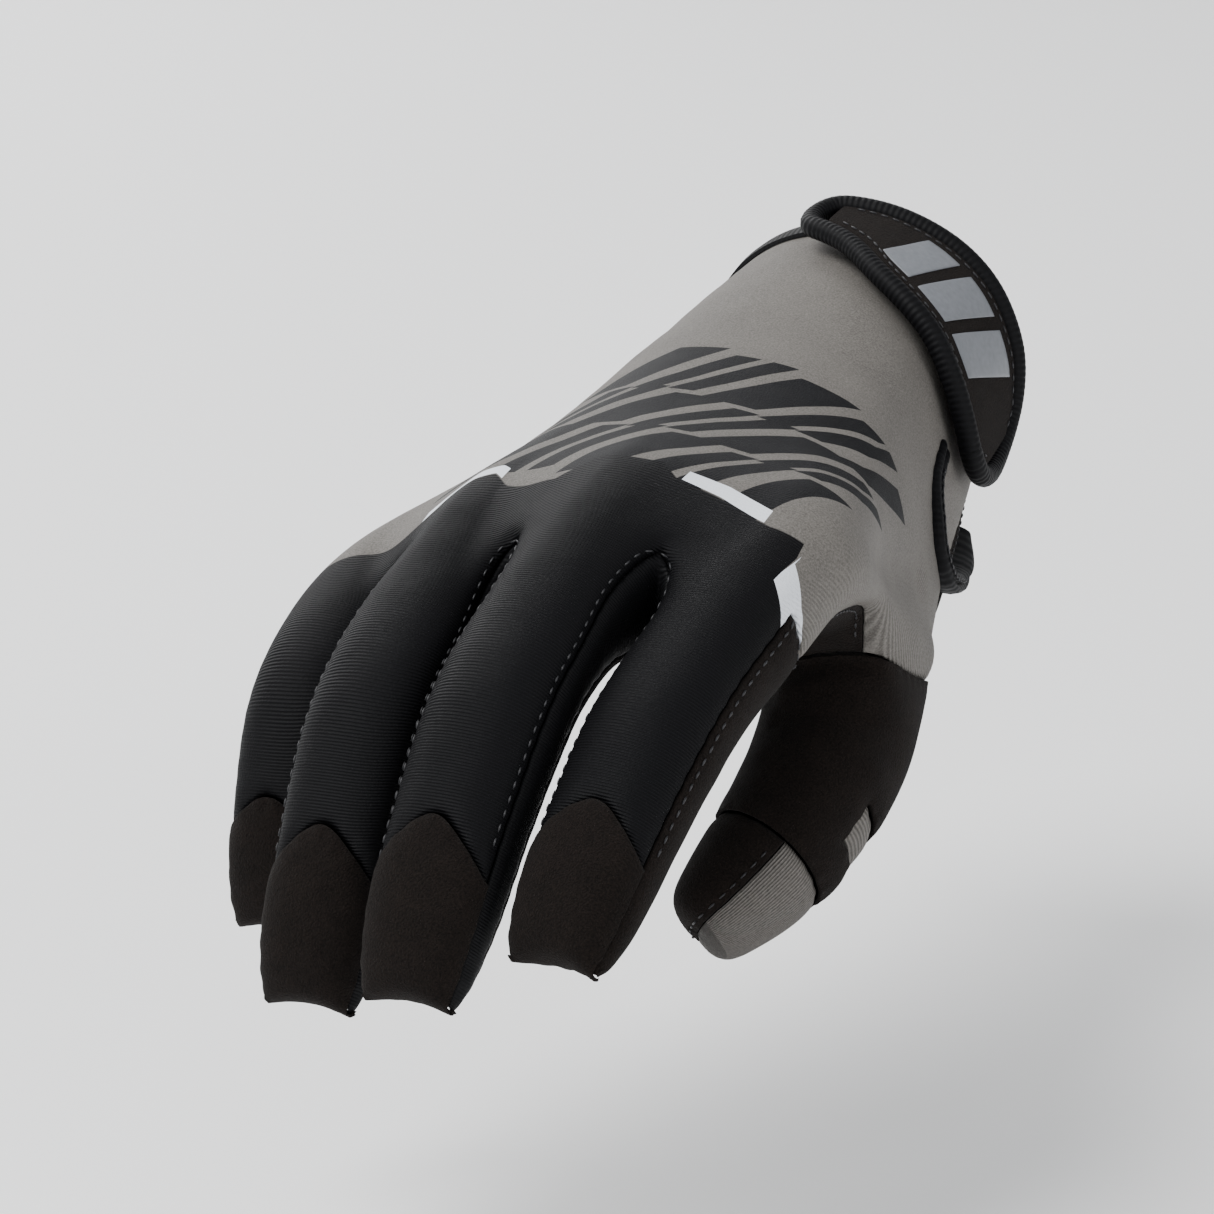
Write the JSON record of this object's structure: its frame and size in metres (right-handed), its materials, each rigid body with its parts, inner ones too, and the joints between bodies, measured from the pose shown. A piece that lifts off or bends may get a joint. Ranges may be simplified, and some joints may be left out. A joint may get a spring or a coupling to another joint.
{
  "type": "motocross glove",
  "caption": "Off-road riding glove for the right hand in stretch knit and suede, curved as worn round a handlebar, with a short closing strap over the wrist slit.",
  "frame": {"origin": "centre of the wrist opening, in the plane of the knit's edge", "axes": "+Z out of the back of the hand, -Y along the hand towards the fingers, +Y out of the wrist opening, +X towards the thumb"},
  "size_m": [0.0981, 0.2166, 0.1065],
  "materials": {
    "back_panel": "grey stretch knit at the wrist, black ribbed knit over the knuckles and fingers",
    "palm_panel": "thin perforated synthetic suede, brown-black, matt",
    "index_side": "thin black stretch knit",
    "middle_side": "thin black stretch knit",
    "ring_side": "thin black stretch knit",
    "index_cap": "brown-black synthetic suede",
    "middle_cap": "brown-black synthetic suede",
    "ring_cap": "brown-black synthetic suede",
    "little_cap": "brown-black synthetic suede",
    "thumb_base": "brown-black synthetic suede, softly wrinkled",
    "thumb_inset": "grey ribbed knit",
    "thumb_nail_panel": "grey ribbed knit with a black edge",
    "thumb_pad_panel": "brown-black synthetic suede",
    "cuff_binding": "narrow black elastic tape",
    "strap_piping": "padded black ribbed piping",
    "strap_flap": "brown-black synthetic suede",
    "strap_pad_1": "soft light grey print, half gloss",
    "strap_pad_2": "soft light grey print, half gloss",
    "strap_pad_3": "soft light grey print, half gloss",
    "strap_hook_patch": "black hook fastening patch",
    "slit_binding": "black elastic tape, stitched"
  },
  "bodies": {
    "root": {"back_panel": "back_panel", "palm_panel": "palm_panel", "index_side": "index_side", "middle_side": "middle_side", "ring_side": "ring_side", "index_cap": "index_cap", "middle_cap": "middle_cap", "ring_cap": "ring_cap", "little_cap": "little_cap", "thumb_base": "thumb_base", "thumb_inset": "thumb_inset", "thumb_nail_panel": "thumb_nail_panel", "thumb_pad_panel": "thumb_pad_panel", "cuff_binding": "cuff_binding", "strap_piping": "strap_piping", "strap_flap": "strap_flap", "strap_pad_1": "strap_pad_1", "strap_pad_2": "strap_pad_2", "strap_pad_3": "strap_pad_3", "strap_hook_patch": "strap_hook_patch", "slit_binding": "slit_binding"}
  },
  "joints": []
}
